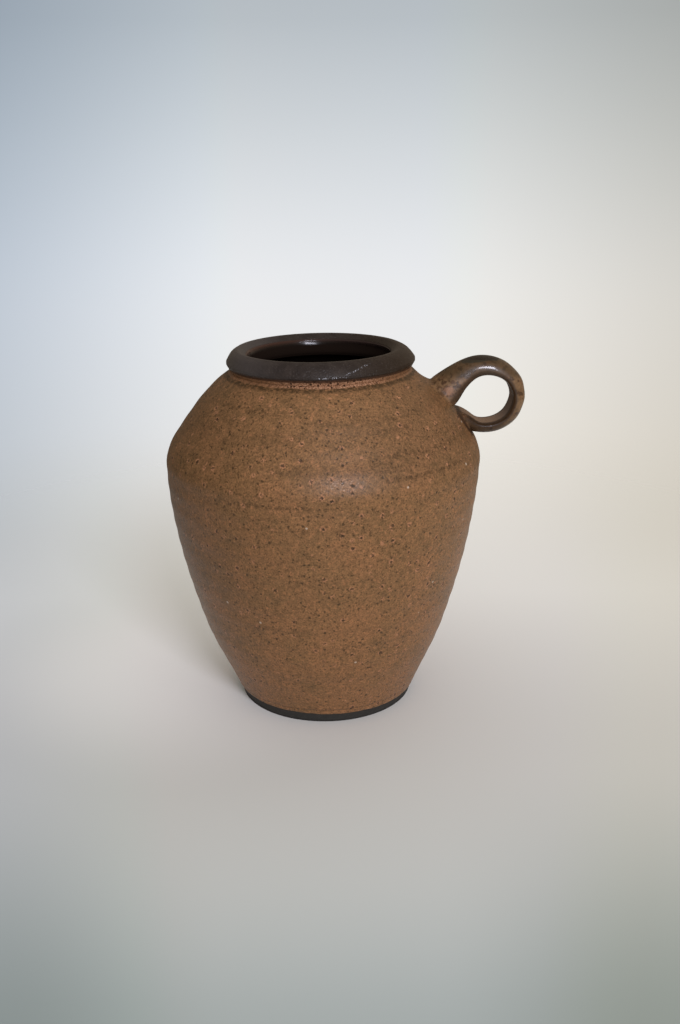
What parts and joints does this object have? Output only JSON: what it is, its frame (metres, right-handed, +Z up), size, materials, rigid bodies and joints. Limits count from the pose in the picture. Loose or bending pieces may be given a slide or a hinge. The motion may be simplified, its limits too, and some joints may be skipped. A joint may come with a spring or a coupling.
{
  "type": "handled vase",
  "caption": "Round-shouldered stoneware vase with a wedge collar round its mouth and a one-finger loop handle on the shoulder.",
  "frame": {"origin": "the throwing axis, in the plane that the foot rests on", "axes": "+Z up along the throwing axis; +X from the axis towards the finger loop; +Y makes the frame right-handed"},
  "size_m": [0.1766, 0.1544, 0.1801],
  "materials": {
    "glazed_stoneware": "satin-matt speckled brown glaze, bare dark clay at the foot, dark satin rim, glossy dark inside"
  },
  "bodies": {
    "root": {"vase": "glazed_stoneware"}
  },
  "joints": []
}
